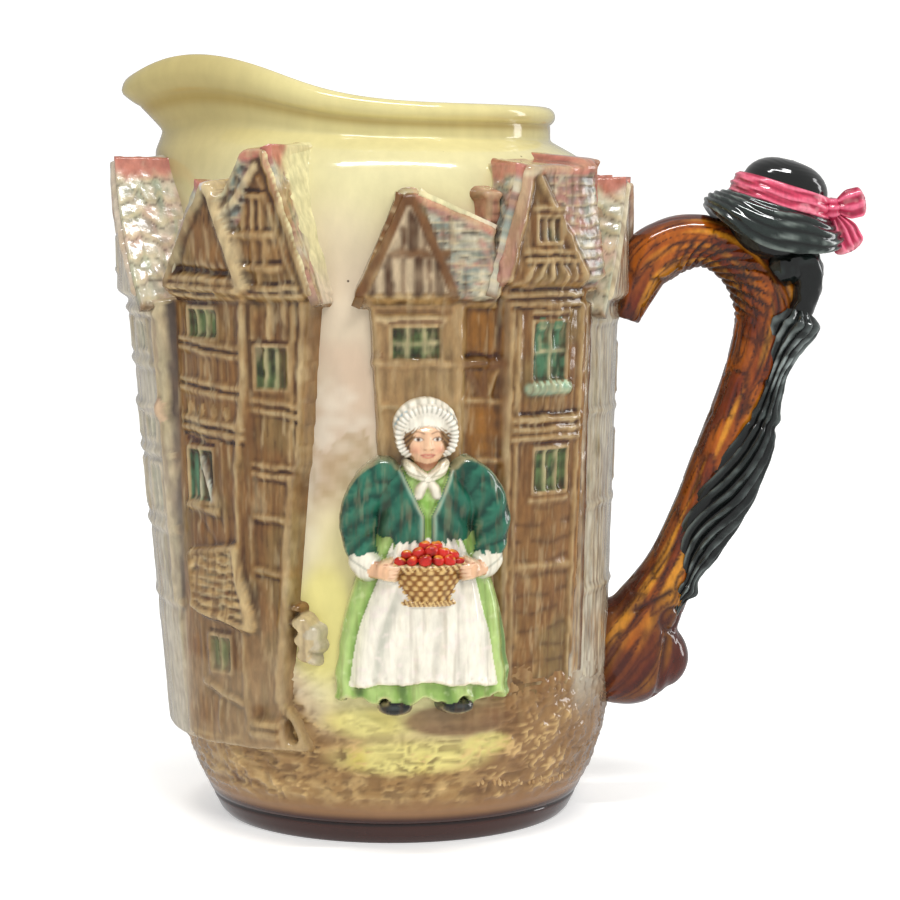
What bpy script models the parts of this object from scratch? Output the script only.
"""Relief-moulded jug: one hollow, fired piece of glazed earthenware.

Metres, +Z up. The origin is the centre of the flat underside. The pouring lip is at -X, the branch
handle at +X, and the side with the standing figure faces -Y. Places round the body are bearings in
degrees, from -Y (0) towards +X (90). Heights up the street are shares: 0 at the street, 1 at the
eaves, 2 at the ridge of the tallest gable.
"""

import math
from dataclasses import dataclass

import bmesh
import bpy
import numpy as np
from mathutils import Matrix, Vector

MM = 0.001

# Turned body, from the foot up
FOOT_RADIUS = 47.0 * MM
FOOT_BEVEL = 1.2 * MM
FOOT_RISE = 28.0 * MM
BODY_RADIUS = 56.5 * MM
SHOULDER_RISE = 25.0 * MM
NECK_RADIUS = 41.3 * MM
NECK_HEIGHT = 11.0 * MM
NECK_COVE = 2.2 * MM
RIM_Z = 186.0 * MM
LIP_HEIGHT = 5.0 * MM
LIP_PROUD = 1.3 * MM
WALL = 4.0 * MM
FLOOR = 6.0 * MM
FLOOR_CORNER = 4.0 * MM

# Pulled spout
SPOUT_BEARING = -90.0
SPOUT_PULL = 29.0 * MM
SPOUT_SPREAD = 26.0
SPOUT_RISE = 15.5 * MM
SPOUT_RISE_SPREAD = 56.0
SPOUT_DIP = 7.5 * MM
SPOUT_DIP_SPREAD = 14.0
SPOUT_ROOT = 7.0 * MM

# Street of houses in relief
STREET_Z = 26.0 * MM
EAVES_Z = 138.0 * MM
GABLE_RISE = 37.0 * MM
BEAM_HEIGHT = 2.4 * MM
POST_WIDTH = 1.8 * MM
BOARD_WIDTH = 2.6 * MM
TIMBER_PROUD = 0.9 * MM
BOARD_PROUD = 1.5 * MM
TILE_PROUD = 0.9 * MM
FRAME_PROUD = 1.1 * MM
FRAME_WIDTH = 1.2 * MM
PANE_DEPTH = 1.4 * MM
DETAIL_SINK = 1.2 * MM

# Standing figure
FIGURE_BEARING = 8.5
FIGURE_HEIGHT = 79.0 * MM
FIGURE_FOOT_Z = 36.0 * MM
FIGURE_SINK = 2.0 * MM

# Branch handle and what hangs on it
HEEL_Z = 38.0 * MM
HANDLE_RISE = 113.5 * MM
HANDLE_REACH = 41.0 * MM
BRANCH_RADIUS = 7.0 * MM
UMBRELLA_RADIUS = 6.2 * MM
UMBRELLA_OFFSET = 4.0 * MM
CROOK_RADIUS = 3.0 * MM
HAT_RADIUS = 19.0 * MM
HAT_HEIGHT = 16.4 * MM
HAT_DROOP = 6.0 * MM
HAT_TILT = 17.0

# How finely the round forms are faceted
BODY_STEPS = 40
SHOULDER_STEPS = 3
SHOULDER_TURN = 75.0
FOOT_STEPS = 3
LIP_ANGLES = (175, 120, 65, 10, -45)
PANEL_STEP = 13.0
BRANCH_SPAN_STEPS = 2
TUBE_RESOLUTION = 2
HAT_STEPS = 16
PLEATS = 8
BLOB_SEGMENTS = 10
BLOB_RINGS = 6
FIGURE_SEGMENTS = 6
DOME_TILTS = (68, 40, 0)

# Heights that follow from the sizes above
LIP_FOOT_Z = RIM_Z - LIP_HEIGHT
NECK_FOOT_Z = RIM_Z - NECK_HEIGHT
SHOULDER_Z = NECK_FOOT_Z - SHOULDER_RISE


def lerp(start, end, share):
    """Value that lies a share of the way from start to end."""
    return start + (end - start) * share


def clamp(value):
    """Value held between 0 and 1."""
    return min(1.0, max(0.0, value))


def place(bearing, radius, z):
    """Point at a bearing, a distance from the axis and a height."""
    angle = math.radians(bearing)
    return Vector((radius * math.sin(angle), -radius * math.cos(angle), z))


def up_street(share):
    """Height of a share: 0 at the street, 1 at the eaves, 2 at the tallest ridge."""
    if share <= 1.0:
        return lerp(STREET_Z, EAVES_Z, share)
    return EAVES_Z + (share - 1.0) * GABLE_RISE


def side_profile(depth):
    """Outline of the wall at a depth under its outer face, from the lip down to the foot."""
    turn = BODY_RADIUS - NECK_RADIUS - NECK_COVE
    centre = BODY_RADIUS - turn
    points = [(NECK_RADIUS - depth, LIP_FOOT_Z), (NECK_RADIUS - depth, NECK_FOOT_Z + NECK_COVE)]
    for step in range(SHOULDER_STEPS + 1):
        angle = math.radians(SHOULDER_TURN * (1.0 - step / SHOULDER_STEPS))
        radius = centre + (turn - depth) * math.cos(angle)
        points.append((radius, SHOULDER_Z + (SHOULDER_RISE - depth) * math.sin(angle)))
    for step in range(FOOT_STEPS + 1):
        share = step / FOOT_STEPS
        radius = lerp(BODY_RADIUS, FOOT_RADIUS, share ** 1.5)
        points.append((radius - depth, lerp(FOOT_RISE, FOOT_BEVEL, share)))
    return points


def lip_profile():
    """Rolled lip, from its inner side over the top to its outer side."""
    half_width = (WALL + LIP_PROUD) / 2
    centre = NECK_RADIUS + LIP_PROUD - half_width
    points = []
    for degrees in LIP_ANGLES:
        angle = math.radians(degrees)
        height = RIM_Z - LIP_HEIGHT / 2 + LIP_HEIGHT / 2 * math.sin(angle)
        points.append((centre + half_width * math.cos(angle), height))
    return points


def spout_shift(bearing, z):
    """How far the spout pulls the wall out and up at a bearing and an undeformed height."""
    off = abs((bearing - SPOUT_BEARING + 180.0) % 360.0 - 180.0)
    climb = clamp((z - SHOULDER_Z) / (RIM_Z - LIP_HEIGHT / 2 - SHOULDER_Z))
    pull = SPOUT_PULL * math.exp(-((off / SPOUT_SPREAD) ** 1.7)) * climb ** 1.9
    lift = SPOUT_RISE * math.exp(-((off / SPOUT_RISE_SPREAD) ** 2.2))
    dip = SPOUT_DIP * math.exp(-((off / SPOUT_DIP_SPREAD) ** 2))
    root = NECK_FOOT_Z - SPOUT_ROOT
    return pull, (lift - dip) * clamp((z - root) / (RIM_Z - root)) ** 1.5


CORE = sorted((z, radius) for radius, z in side_profile(WALL / 2))


def core_radius(bearing, z):
    """Radius of the middle of the wall, where everything applied to the jug is rooted."""
    heights = [point[0] for point in CORE]
    radii = [point[1] for point in CORE]
    return float(np.interp(z, heights, radii)) + spout_shift(bearing, z)[0]


def new_object(name, mesh, collection):
    """Link a new object that carries a mesh."""
    made = bpy.data.objects.new(name, mesh)
    collection.objects.link(made)
    return made


def from_bmesh(name, shape, collection):
    """Turn an edit mesh into an object with its faces pointing out."""
    bmesh.ops.recalc_face_normals(shape, faces=shape.faces[:])
    if shape.calc_volume(signed=True) < 0.0:
        bmesh.ops.reverse_faces(shape, faces=shape.faces[:])
    mesh = bpy.data.meshes.new(name)
    shape.to_mesh(mesh)
    shape.free()
    return new_object(name, mesh, collection)


def evaluated_mesh(source):
    """Mesh of an object with its modifiers or its curve bevel worked out."""
    bpy.context.view_layer.update()
    graph = bpy.context.evaluated_depsgraph_get()
    return bpy.data.meshes.new_from_object(source.evaluated_get(graph))


def turned(name, profile, steps, collection):
    """Turn a profile, given as radius and height, round the Z axis."""
    mesh = bpy.data.meshes.new(name)
    points = [(radius, 0.0, z) for radius, z in profile]
    mesh.from_pydata(points, [(i, i + 1) for i in range(len(points) - 1)], [])
    outline = new_object(name + "_outline", mesh, collection)
    screw = outline.modifiers.new("turn", "SCREW")
    screw.steps = steps
    screw.render_steps = steps
    screw.use_merge_vertices = True
    screw.merge_threshold = 0.0001
    result = evaluated_mesh(outline)
    bpy.data.objects.remove(outline)
    return new_object(name, result, collection)


def tube(name, points, radii, collection):
    """Round rod along a list of points, as a mesh with welded caps."""
    curve = bpy.data.curves.new(name, "CURVE")
    curve.dimensions = "3D"
    curve.bevel_depth = 1.0
    curve.bevel_resolution = TUBE_RESOLUTION
    curve.use_fill_caps = True
    spline = curve.splines.new("POLY")
    spline.points.add(len(points) - 1)
    for knot, point, radius in zip(spline.points, points, radii):
        knot.co = (*point, 1.0)
        knot.radius = radius
    rod = new_object(name + "_path", curve, collection)
    mesh = evaluated_mesh(rod)
    made = new_object(name, mesh, collection)
    made.matrix_world = rod.matrix_world
    bpy.data.objects.remove(rod)
    shape = bmesh.new()
    shape.from_mesh(mesh)
    bmesh.ops.remove_doubles(shape, verts=shape.verts[:], dist=0.00001)
    bmesh.ops.recalc_face_normals(shape, faces=shape.faces[:])
    shape.to_mesh(mesh)
    shape.free()
    return made


def smooth(points, spans):
    """Catmull-Rom points through a list of vectors, with a number of steps in each span."""
    path = []
    for index in range(len(points) - 1):
        before = points[max(index - 1, 0)]
        start = points[index]
        end = points[index + 1]
        after = points[min(index + 2, len(points) - 1)]
        for step in range(spans):
            t = step / spans
            bend = 2 * before - 5 * start + 4 * end - after
            turn = -1 * before + 3 * start - 3 * end + after
            path.append(0.5 * (2 * start + (end - before) * t + bend * t ** 2 + turn * t ** 3))
    path.append(points[-1])
    return path


def wrapped_panel(name, corners, back, front, collection, rows=1):
    """Slab wrapped round the jug between two radius functions of bearing and height.

    The corners are (bearing, height): lower left, lower right, upper right, upper left.
    """
    lower_left, lower_right, upper_right, upper_left = corners
    spread = max(lower_right[0] - lower_left[0], upper_right[0] - upper_left[0])
    columns = max(1, math.ceil(spread / PANEL_STEP))
    shape = bmesh.new()
    bmesh.ops.create_grid(shape, x_segments=columns, y_segments=rows, size=0.5)
    inner = shape.verts[:]
    outer = bmesh.ops.extrude_face_region(shape, geom=shape.faces[:])["geom"]
    outer = [item for item in outer if isinstance(item, bmesh.types.BMVert)]
    for verts, radius_at in ((inner, back), (outer, front)):
        for vert in verts:
            across = vert.co.x + 0.5
            up = vert.co.y + 0.5
            low = Vector(lower_left).lerp(Vector(lower_right), across)
            high = Vector(upper_left).lerp(Vector(upper_right), across)
            bearing, z = low.lerp(high, up)
            vert.co = place(bearing, radius_at(bearing, z), z)
    return from_bmesh(name, shape, collection)


def blob(name, centre, sizes, collection, turn=None):
    """Ellipsoid with its three half sizes, turned before it is placed."""
    shape = bmesh.new()
    bmesh.ops.create_uvsphere(shape, u_segments=BLOB_SEGMENTS, v_segments=BLOB_RINGS, radius=1.0)
    matrix = Matrix.Translation(centre) @ (turn or Matrix()) @ Matrix.Diagonal((*sizes, 1.0))
    bmesh.ops.transform(shape, matrix=matrix, verts=shape.verts[:])
    return from_bmesh(name, shape, collection)


def loft(name, rings, collection):
    """Closed skin over rings of points that all have the same count."""
    shape = bmesh.new()
    loops = [[shape.verts.new(point) for point in ring] for ring in rings]
    count = len(rings[0])
    for low, high in zip(loops, loops[1:]):
        for index in range(count):
            after = (index + 1) % count
            shape.faces.new((low[index], low[after], high[after], high[index]))
    shape.faces.new(loops[0])
    shape.faces.new(loops[-1])
    return from_bmesh(name, shape, collection)


@dataclass
class House:
    """One house of the street: a leaning wall with its roof, and what is carved on them.

    The wall is (left, right) at its foot and (left, right) at its eaves. Rows of the roof are
    (share, left, right). Beams are (share, left, right), posts (bearing, share, share), windows
    (left, right, share, share), boards and tiles (bearing, share, bearing, share).
    """

    name: str
    foot: float
    eaves: float
    wall: tuple
    foot_proud: float
    eaves_proud: float
    roof_proud: float = 0.0
    roof: tuple = ()
    beams: tuple = ()
    posts: tuple = ()
    windows: tuple = ()
    boards: tuple = ()
    tiles: tuple = ()

    def surface(self, bearing, z):
        """Radius of the face of the wall, or of the roof above the eaves."""
        low = up_street(self.foot)
        high = up_street(self.eaves)
        if z > high + BEAM_HEIGHT / 2 and self.roof:
            return BODY_RADIUS + self.roof_proud
        share = (z - low) / (high - low)
        return BODY_RADIUS + lerp(self.foot_proud, self.eaves_proud, min(share, 1.0))

    def sunk(self, bearing, z):
        """Radius just under the face, where the carved details are rooted."""
        return self.surface(bearing, z) - DETAIL_SINK

    def raised(self, amount):
        """Radius function of a detail that stands an amount proud of the face."""
        return lambda bearing, z: self.surface(bearing, z) + amount

    def degrees(self, width):
        """Angle that a width takes up on the face of the wall."""
        return math.degrees(width / (BODY_RADIUS + self.eaves_proud))

    def build(self, solids, cutters):
        """Make the wall, the roof, the timbers, the windows and the tiles."""
        low = up_street(self.foot)
        high = up_street(self.eaves)
        foot, eaves = self.wall
        corners = ((foot[0], low), (foot[1], low), (eaves[1], high), (eaves[0], high))
        wrapped_panel(self.name + "_wall", corners, core_radius, self.surface, solids)
        self.build_roof(solids)
        for index, (share, left, right) in enumerate(self.beams):
            z = up_street(share)
            self.strip(f"beam_{index}", (left, z), (right, z), BEAM_HEIGHT, TIMBER_PROUD, solids)
        for index, (bearing, start, end) in enumerate(self.posts):
            self.post(f"post_{index}", bearing, up_street(start), up_street(end), solids)
        for index, (left, right, sill, head) in enumerate(self.windows):
            self.window(f"window_{index}", left, right, up_street(sill), up_street(head), solids, cutters)
        for index, (left, start, right, end) in enumerate(self.boards):
            ends = (left, up_street(start)), (right, up_street(end))
            self.strip(f"board_{index}", *ends, BOARD_WIDTH, BOARD_PROUD, solids)
        for index, (left, start, right, end) in enumerate(self.tiles):
            ends = (left, up_street(start)), (right, up_street(end))
            self.strip(f"tiles_{index}", *ends, BOARD_WIDTH, TILE_PROUD, solids)

    def build_roof(self, solids):
        """Make the roof from the rows of its outline, down to the middle of the jug's wall."""
        def face(bearing, z):
            return BODY_RADIUS + self.roof_proud

        for index, (lower, upper) in enumerate(zip(self.roof, self.roof[1:])):
            low = up_street(lower[0])
            high = up_street(upper[0])
            corners = ((lower[1], low), (lower[2], low), (upper[2], high), (upper[1], high))
            wrapped_panel(f"{self.name}_roof_{index}", corners, core_radius, face, solids, rows=3)

    def strip(self, label, start, end, height, proud, solids):
        """Make a timber, a bargeboard or a row of tiles between two places on the face."""
        corners = (
            (start[0], start[1] - height / 2),
            (end[0], end[1] - height / 2),
            (end[0], end[1] + height / 2),
            (start[0], start[1] + height / 2),
        )
        name = f"{self.name}_{label}"
        wrapped_panel(name, corners, self.sunk, self.raised(proud), solids)

    def post(self, label, bearing, low, high, solids):
        """Make an upright timber."""
        half = self.degrees(POST_WIDTH) / 2
        left = bearing - half
        right = bearing + half
        corners = ((left, low), (right, low), (right, high), (left, high))
        name = f"{self.name}_{label}"
        wrapped_panel(name, corners, self.sunk, self.raised(TIMBER_PROUD * 0.9), solids)

    def window(self, label, left, right, low, high, solids, cutters):
        """Make a raised frame with two panes sunk into it."""
        name = f"{self.name}_{label}"
        corners = ((left, low), (right, low), (right, high), (left, high))
        wrapped_panel(name, corners, self.sunk, self.raised(FRAME_PROUD), solids)
        bar = self.degrees(FRAME_WIDTH)
        middle = (left + right) / 2
        halves = ((left + bar, middle - bar / 2), (middle + bar / 2, right - bar))
        for side, (start, end) in enumerate(halves):
            pane = ((start, low + FRAME_WIDTH), (end, low + FRAME_WIDTH))
            pane += ((end, high - FRAME_WIDTH), (start, high - FRAME_WIDTH))
            deep = self.raised(FRAME_PROUD - PANE_DEPTH)
            wrapped_panel(f"{name}_pane_{side}", pane, deep, self.raised(2 * FRAME_PROUD), cutters)


HOUSES = (
    House(
        "corner_house", -0.02, 0.99, ((-104, -60), (-106, -57)), 3.6 * MM, 13.4 * MM, 16.3 * MM,
        roof=((0.97, -104, -59), (1.92, -83.5, -79)),
        beams=((0.64, -103, -60.5), (0.87, -104, -59)),
        boards=((-81, 1.88, -61, 1.02), (-102, 1.02, -82, 1.88)),
    ),
    House(
        "bay_house", -0.01, 1.0, ((-54, -33), (-56, -32.5)), 4.2 * MM, 8.8 * MM, 12.3 * MM,
        roof=((1.05, -54.5, -31), (1.76, -42, -39)),
        beams=((0.715, -54.4, -34.5), (0.80, -54.8, -34), (0.90, -55, -33.7)),
        windows=((-49.5, -40, 0.915, 0.985), (-53.3, -43.5, 0.54, 0.67), (-46.5, -38, 0.15, 0.24)),
        boards=((-53.5, 1.12, -41.5, 1.72), (-40, 1.72, -32, 1.12)),
    ),
    House(
        "gable_house", 0.01, 1.0, ((-35, -27), (-34, -17.5)), 3.4 * MM, 7.6 * MM, 11.0 * MM,
        roof=((0.99, -37, -12), (2.0, -34.5, -24.5)),
        beams=((0.64, -31.5, -20), (0.76, -31.5, -19.2), (1.08, -30, -15.5), (1.34, -29.5, -18)),
        posts=((-18.9, 0.66, 0.97), (-26.2, 1.1, 1.31), (-22.3, 1.1, 1.31)),
        windows=((-31, -22.5, 0.795, 0.9),),
        boards=((-23.6, 1.93, -13.4, 1.07), (-33, 1.45, -27, 1.9)),
    ),
    House(
        "front_house", 0.44, 1.0, ((-1, 18), (-4.2, 18)), 1.4 * MM, 4.4 * MM, 7.4 * MM,
        roof=((0.985, -7, 26), (1.46, 0.2, 23.8), (1.69, 3.2, 6.6)),
        beams=((0.77, -2.2, 17.2), (0.955, -3.6, 17.4), (1.06, -3.5, 13.5), (1.3, -0.5, 11.5)),
        posts=((15, 0.5, 0.95), (0.3, 1.07, 1.28), (6, 1.07, 1.28)),
        windows=((0.6, 12.4, 0.872, 0.94),),
        boards=((-6.4, 1.03, 4, 1.64), (5.4, 1.64, 14.3, 1.03)),
        tiles=((15.5, 1.12, 24.5, 1.12), (11.6, 1.36, 23.4, 1.36)),
    ),
    House(
        "alley_house", 0.3, 1.01, ((16.8, 29.3), (16.8, 29.3)), 1.1 * MM, 2.6 * MM,
        beams=((0.87, 18.7, 27.3), (0.63, 18.7, 27.3)),
    ),
    House(
        "tall_house", 0.1, 1.03, ((28, 53.5), (28, 53.5)), 1.8 * MM, 5.4 * MM, 8.0 * MM,
        roof=((1.02, 24, 58.5), (1.88, 31.5, 52)),
        beams=((0.57, 29, 52.6), (0.72, 28.7, 52.8), (1.1, 29, 50.5), (1.32, 30.5, 46.5)),
        windows=((34.5, 46.5, 0.8, 0.955), (35.8, 48.8, 0.59, 0.69)),
        boards=((24.8, 1.1, 32, 1.84), (34, 1.84, 50.5, 1.1)),
        tiles=((48.5, 1.3, 57, 1.3), (44, 1.55, 55.2, 1.55)),
    ),
    House(
        "handle_house", 0.13, 0.98, ((51.8, 98), (51.8, 99)), 0.7 * MM, 2.9 * MM, 5.6 * MM,
        roof=((0.95, 60, 99.5), (1.78, 76, 82.5)),
        boards=((61.5, 1.02, 76.5, 1.72),),
    ),
    House(
        "yard_house", 0.05, 1.0, ((104, 130), (103, 131)), 1.6 * MM, 4.6 * MM, 7.4 * MM,
        roof=((0.99, 101.5, 132), (1.8, 114.5, 117.5)),
        beams=((0.7, 105, 129), (1.1, 106, 126.5)),
        windows=((109, 122, 0.76, 0.9), (109, 122, 0.47, 0.62)),
    ),
    House(
        "low_house", 0.07, 0.9, ((128, 153), (128, 153)), 1.2 * MM, 3.6 * MM, 6.0 * MM,
        roof=((0.89, 126.5, 155), (1.45, 139, 143)),
        beams=((0.5, 131, 152), (0.95, 132, 151)),
        windows=((135, 147, 0.6, 0.78),),
    ),
    House(
        "inn_house", 0.05, 1.0, ((177, 202), (176, 203)), 1.6 * MM, 5.0 * MM, 7.8 * MM,
        roof=((0.99, 174, 204), (1.86, 187.5, 190.5)),
        beams=((0.68, 178, 201), (1.1, 179, 199)),
        windows=((183, 195, 0.75, 0.9), (183, 195, 0.43, 0.6)),
    ),
    House(
        "shop_house", 0.07, 0.93, ((200, 224), (200, 224)), 1.3 * MM, 4.2 * MM, 7.0 * MM,
        roof=((0.92, 202, 226), (1.5, 211, 215)),
        beams=((0.52, 203.5, 222), (1.0, 205, 221)),
        windows=((206, 218, 0.6, 0.8),),
    ),
    House(
        "last_house", 0.0, 1.0, ((223, 245), (222, 246)), 3.0 * MM, 9.0 * MM, 12.0 * MM,
        roof=((0.99, 220.5, 249), (1.9, 233.5, 236.5)),
        beams=((0.7, 224, 244), (1.1, 226, 244)),
        windows=((228, 240, 0.76, 0.9), (228, 240, 0.48, 0.62)),
    ),
)

# Chimneys as (bearing, bearing, lower share, upper share, how far they stand proud)
CHIMNEYS = (
    (22.6, 27.2, 1.2, 1.72, 4.5 * MM),
    (48.0, 56.5, 1.6, 1.94, 6.0 * MM),
    (125.0, 131.0, 1.2, 1.75, 4.5 * MM),
    (204.0, 209.0, 1.2, 1.8, 5.0 * MM),
)

# Small roof over the ground floor and the doorstep, as corners (bearing, share) and proudness
PORCH = (((-52.5, 0.31), (-32, 0.27), (-37, 0.44), (-53.5, 0.41)), 8.6 * MM)
DOORSTEP = (((-35.5, 0.0), (-25, 0.0), (-25.5, 0.06), (-35, 0.06)), 5.6 * MM)


def build_street(solids, cutters):
    """Make the houses, their chimneys, the porch roof and the doorstep."""
    for house in HOUSES:
        house.build(solids, cutters)
    for index, (left, right, low, high, proud) in enumerate(CHIMNEYS):
        corners = [(left, up_street(low)), (right, up_street(low))]
        corners += [(right, up_street(high)), (left, up_street(high))]
        flat_block(f"chimney_{index}", corners, proud, solids)
    for name, (corners, proud) in (("porch", PORCH), ("doorstep", DOORSTEP)):
        flat_block(name, [(bearing, up_street(share)) for bearing, share in corners], proud, solids)


def flat_block(name, corners, proud, solids):
    """Block rooted in the wall whose face stands proud of the body."""
    def face(bearing, z):
        return BODY_RADIUS + proud

    wrapped_panel(name, corners, core_radius, face, solids)


def build_body(collection):
    """Turn the hollow body with its rolled lip, and pull the spout out of it."""
    inner = [point for point in side_profile(WALL) if point[1] > FLOOR + FLOOR_CORNER]
    floor = [(0.0, FLOOR), (inner[-1][0] - FLOOR_CORNER, FLOOR)]
    outer = side_profile(0.0)
    underside = [(FOOT_RADIUS - FOOT_BEVEL, 0.0), (0.0, 0.0)]
    profile = floor + inner[::-1] + lip_profile() + outer + underside
    jug = turned("jug", profile, BODY_STEPS, collection)
    for vert in jug.data.vertices:
        x, y, z = vert.co
        radius = math.hypot(x, y)
        if radius > FLOOR and z > SHOULDER_Z:
            bearing = math.degrees(math.atan2(x, -y))
            pull, rise = spout_shift(bearing, z)
            vert.co = place(bearing, radius + pull, z + rise)
    return jug


def on_handle(across, up, forward=0.0):
    """Point at shares of the handle's reach and rise, moved towards the front."""
    return Vector((BODY_RADIUS + across * HANDLE_REACH, -forward, HEEL_Z + up * HANDLE_RISE))


# Branch as (share of reach, share of rise, share of its own radius), from the shoulder to the heel
BRANCH = (
    (0.11, 0.815, 0.62), (0.17, 0.88, 0.85), (0.25, 0.945, 1.12), (0.43, 0.985, 1.1), (0.62, 0.995, 1.0),
    (0.79, 0.97, 1.0), (0.925, 0.915, 1.0), (0.99, 0.835, 1.0), (0.972, 0.745, 1.0), (0.875, 0.63, 0.98),
    (0.742, 0.5, 0.97), (0.583, 0.35, 0.97), (0.43, 0.225, 1.05), (0.28, 0.13, 1.35), (0.12, 0.04, 1.5),
)

# Umbrella as the same shares, from the gathered top to the tip
UMBRELLA = (
    (1.205, 0.838, 0.58), (1.18, 0.8, 1.0), (1.12, 0.73, 0.64), (1.08, 0.68, 0.45), (1.02, 0.6, 0.6),
    (0.945, 0.53, 0.85), (0.8, 0.42, 1.06), (0.655, 0.33, 1.04), (0.585, 0.265, 0.8), (0.54, 0.21, 0.42),
    (0.51, 0.185, 0.6), (0.475, 0.16, 0.36), (0.44, 0.12, 0.16),
)
CROOK_SHAFT = ((1.2, 0.8), (1.3, 0.86), (1.32, 0.91), (1.3, 0.95))

PLEAT_DEPTH = 0.14
PLEAT_TWIST = math.radians(33.0)


def build_branch(solids):
    """Make the branch, its knotty heel on the body and the stub of a cut twig."""
    knots = [Vector((*on_handle(across, up), radius)) for across, up, radius in BRANCH]
    path = smooth(knots, BRANCH_SPAN_STEPS)
    radii = [knot[3] * BRANCH_RADIUS for knot in path]
    tube("branch", [knot.xyz for knot in path], radii, solids)
    heel = on_handle(0.14, 0.03)
    blob("heel", heel, (2.15 * BRANCH_RADIUS, 1.6 * BRANCH_RADIUS, 2.15 * BRANCH_RADIUS), solids)
    stub = [on_handle(0.2, 0.06, 0.5 * BRANCH_RADIUS), on_handle(0.41, 0.115, 0.75 * BRANCH_RADIUS)]
    tube("twig_stub", stub, [0.55 * BRANCH_RADIUS, 0.42 * BRANCH_RADIUS], solids)
    blob("heel_lobe", on_handle(0.4, 0.05), [0.8 * BRANCH_RADIUS] * 3, solids)


def build_umbrella(solids):
    """Make the furled umbrella with its hooked grip, lying along the outer side of the branch."""
    points = [on_handle(across, up, UMBRELLA_OFFSET) for across, up, _ in UMBRELLA]
    rings = []
    count = 2 * PLEATS
    for index, (centre, (_, _, share)) in enumerate(zip(points, UMBRELLA)):
        before = points[max(index - 1, 0)]
        after = points[min(index + 1, len(points) - 1)]
        along = (after - before).normalized()
        front = Vector((0.0, -1.0, 0.0))
        side = along.cross(front).normalized()
        ring = []
        for step in range(count):
            angle = 2 * math.pi * step / count + index * PLEAT_TWIST
            ridge = 1.0 + (PLEAT_DEPTH if step % 2 else -PLEAT_DEPTH)
            radius = share * UMBRELLA_RADIUS * ridge
            ring.append(centre + radius * (math.cos(angle) * side + math.sin(angle) * front))
        rings.append(ring)
    loft("umbrella", rings, solids)
    shaft = smooth([on_handle(across, up, UMBRELLA_OFFSET) for across, up in CROOK_SHAFT], 2)
    tube("crook_shaft", shaft, [CROOK_RADIUS] * len(shaft), solids)
    grip = on_handle(1.24, 0.945, UMBRELLA_OFFSET)
    blob("crook_grip", grip, (2.05 * CROOK_RADIUS, 1.5 * CROOK_RADIUS, 1.5 * CROOK_RADIUS), solids)


# Hat as (share of its radius, share of its height): brim, ribbon and crown, from the top down
HAT = (
    (0.0, 1.0), (0.34, 0.98), (0.54, 0.88), (0.63, 0.72), (0.645, 0.56), (0.69, 0.54), (0.70, 0.31),
    (0.72, 0.27), (0.92, 0.13), (1.0, 0.02), (0.98, -0.1), (0.78, -0.16), (0.5, -0.6), (0.0, -0.75),
)
BRIM_START = 0.7
HAT_DEPTH = 0.88


def build_hat(solids):
    """Make the straw hat that sits over the top of the branch, with its ribbon and bow."""
    profile = [(radius * HAT_RADIUS, height * HAT_HEIGHT) for radius, height in HAT]
    hat = turned("hat", profile, HAT_STEPS, solids)
    seat = Matrix.Translation(on_handle(1.08, 1.045)) @ Matrix.Rotation(math.radians(HAT_TILT), 4, "Y")
    for vert in hat.data.vertices:
        x, y, z = vert.co
        outward = max(0.0, math.hypot(x, y) / HAT_RADIUS - BRIM_START) / (1.0 - BRIM_START)
        droop = HAT_DROOP * outward * (y / HAT_RADIUS) ** 2
        vert.co = seat @ Vector((x, y * HAT_DEPTH, z - droop))
    knot = seat @ Vector((0.68 * HAT_RADIUS, -0.2 * HAT_RADIUS, 0.42 * HAT_HEIGHT))
    size = 0.22 * HAT_RADIUS
    blob("bow_knot", knot, (0.6 * size, 0.9 * size, 0.8 * size), solids)
    upper = knot + Vector((0.95 * size, 0.0, 0.3 * size))
    blob("bow_upper_loop", upper, (1.15 * size, 0.8 * size, 0.95 * size), solids)
    lower = knot + Vector((0.8 * size, 0.0, -1.3 * size))
    blob("bow_lower_loop", lower, (1.05 * size, 0.8 * size, 1.3 * size), solids)


def on_figure(side, up, forward):
    """Point at shares of the figure's height: sideways, upwards and out from the body."""
    bearing = FIGURE_BEARING + math.degrees(side * FIGURE_HEIGHT / BODY_RADIUS)
    depth = max(forward * FIGURE_HEIGHT, -FIGURE_SINK)
    return place(bearing, BODY_RADIUS + depth, FIGURE_FOOT_Z + up * FIGURE_HEIGHT)


def figure_loft(name, rings, solids):
    """Loft of half oval rings given as (side, up, half width, depth), rooted in the wall.

    Their sides run straight back into the jug, so that the figure leaves its mould.
    """
    loops = []
    for side, up, half_width, depth in rings:
        loop = [on_figure(side + half_width, up, -1.0), on_figure(side - half_width, up, -1.0)]
        for step in range(FIGURE_SEGMENTS + 1):
            angle = math.pi * (1.0 - step / FIGURE_SEGMENTS)
            across = side + half_width * math.cos(angle)
            loop.append(on_figure(across, up, depth * math.sin(angle)))
        loops.append(loop)
    return loft(name, loops, solids)


def figure_dome(name, centre, sizes, solids):
    """Rounded boss of the figure, given its centre and half sizes as (side, up, depth)."""
    loops = []
    for tilt in DOME_TILTS + (None,):
        reach = 1.0 if tilt is None else math.cos(math.radians(tilt))
        depth = -1.0 if tilt is None else centre[2] + sizes[2] * math.sin(math.radians(tilt))
        loop = []
        for step in range(BLOB_SEGMENTS):
            angle = 2 * math.pi * step / BLOB_SEGMENTS
            side = centre[0] + sizes[0] * reach * math.cos(angle)
            loop.append(on_figure(side, centre[1] + sizes[1] * reach * math.sin(angle), depth))
        loops.append(loop)
    return loft(name, loops, solids)


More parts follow.
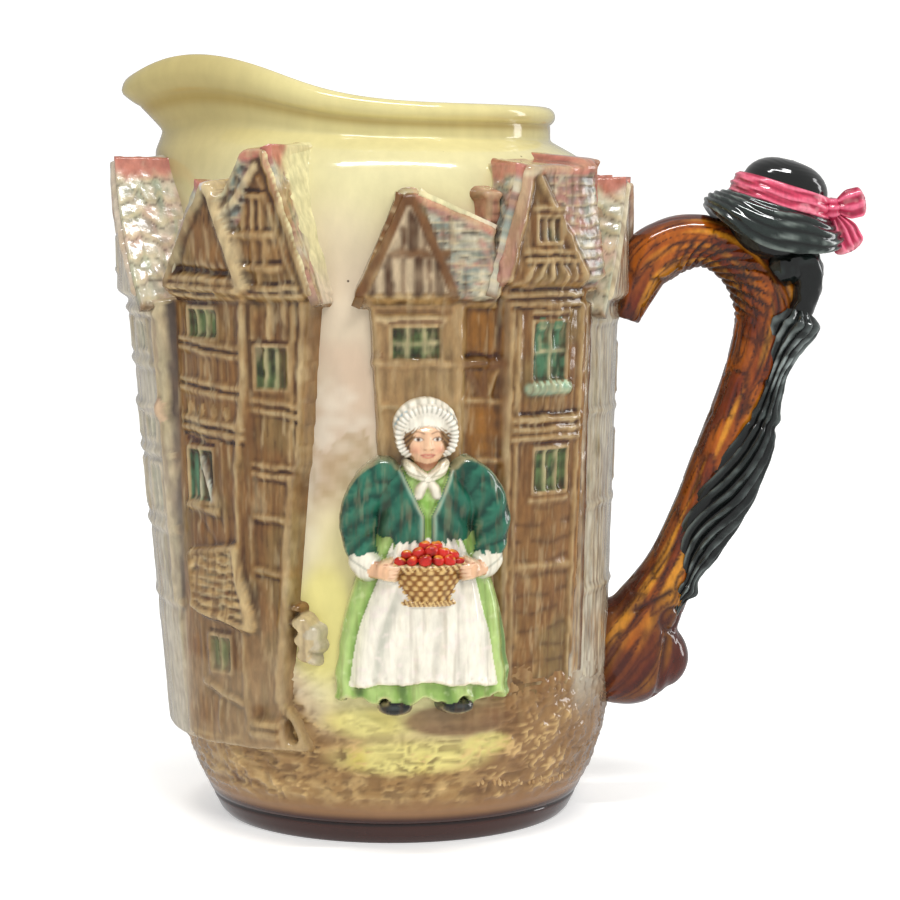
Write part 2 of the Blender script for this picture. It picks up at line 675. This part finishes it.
def build_figure(solids):
    """Make the countrywoman with a basket of apples: skirt, shawl, sleeves, head, cap and shoes."""
    skirt = ((0.0, 0.035, 0.27, 0.085), (0.0, 0.07, 0.285, 0.1), (0.0, 0.3, 0.25, 0.112))
    skirt += ((0.0, 0.5, 0.185, 0.1), (0.0, 0.6, 0.13, 0.085))
    figure_loft("skirt", skirt, solids)
    apron = ((0.0, 0.1, 0.19, 0.116), (0.0, 0.3, 0.17, 0.126), (0.0, 0.5, 0.125, 0.112))
    figure_loft("apron", apron, solids)
    shawl = ((0.0, 0.52, 0.12, 0.09), (0.0, 0.6, 0.155, 0.105), (0.0, 0.7, 0.16, 0.1))
    shawl += ((0.0, 0.76, 0.11, 0.085), (0.0, 0.8, 0.05, 0.07))
    figure_loft("shawl", shawl, solids)
    figure_dome("head", (0.0, 0.86, 0.045), (0.068, 0.082, 0.07), solids)
    figure_dome("cap", (0.0, 0.9, 0.03), (0.1, 0.098, 0.066), solids)
    for sign, label in ((-1, "left"), (1, "right")):
        sleeve = ((sign * 0.155, 0.72, 0.045, 0.08), (sign * 0.19, 0.63, 0.055, 0.1))
        sleeve += ((sign * 0.19, 0.52, 0.05, 0.105), (sign * 0.16, 0.465, 0.045, 0.1))
        figure_loft(f"{label}_sleeve", sleeve, solids)
        figure_dome(f"{label}_hand", (sign * 0.115, 0.47, 0.11), (0.034, 0.032, 0.03), solids)
        figure_dome(f"{label}_shoe", (sign * 0.09, 0.025, 0.045), (0.055, 0.03, 0.06), solids)
    basket = ((0.0, 0.36, 0.085, 0.135), (0.0, 0.43, 0.11, 0.158), (0.0, 0.475, 0.12, 0.162))
    figure_loft("basket", basket, solids)
    figure_dome("apples", (0.0, 0.485, 0.11), (0.098, 0.045, 0.04), solids)


def glazed_earthenware():
    """Glossy cream glaze over earthenware."""
    finish = bpy.data.materials.new("glazed_earthenware")
    finish.use_nodes = True
    shader = finish.node_tree.nodes["Principled BSDF"]
    shader.inputs["Base Color"].default_value = (0.72, 0.62, 0.36, 1.0)
    shader.inputs["Roughness"].default_value = 0.16
    shader.inputs["Metallic"].default_value = 0.0
    return finish


def make_guides(collection):
    """Show a collection's objects as wires and keep them out of the finished model."""
    for item in collection.objects:
        item.hide_render = True
        item.display_type = "WIRE"


def join(jug, label, operation, collection):
    """Add a Boolean modifier that works on a whole collection at once.

    So many overlapping forms leave the exact solver with open edges, so the manifold one joins them.
    """
    modifier = jug.modifiers.new(label, "BOOLEAN")
    modifier.operation = operation
    modifier.operand_type = "COLLECTION"
    modifier.collection = collection
    modifier.solver = "MANIFOLD"


def new_collection(name):
    """Collection linked to the scene."""
    made = bpy.data.collections.new(name)
    bpy.context.scene.collection.children.link(made)
    return made


def main():
    """Build the jug."""
    for item in list(bpy.data.objects):
        bpy.data.objects.remove(item)
    parts = new_collection("relief_moulded_jug")
    solids = new_collection("applied_forms")
    cutters = new_collection("cutters")
    jug = build_body(parts)
    build_street(solids, cutters)
    build_figure(solids)
    build_branch(solids)
    build_umbrella(solids)
    build_hat(solids)
    make_guides(solids)
    make_guides(cutters)
    join(jug, "apply_forms", "UNION", solids)
    join(jug, "sink_panes", "DIFFERENCE", cutters)
    jug.data.materials.append(glazed_earthenware())
    jug.data.shade_smooth()
    jug.data.set_sharp_from_angle(angle=math.radians(40.0))


main()
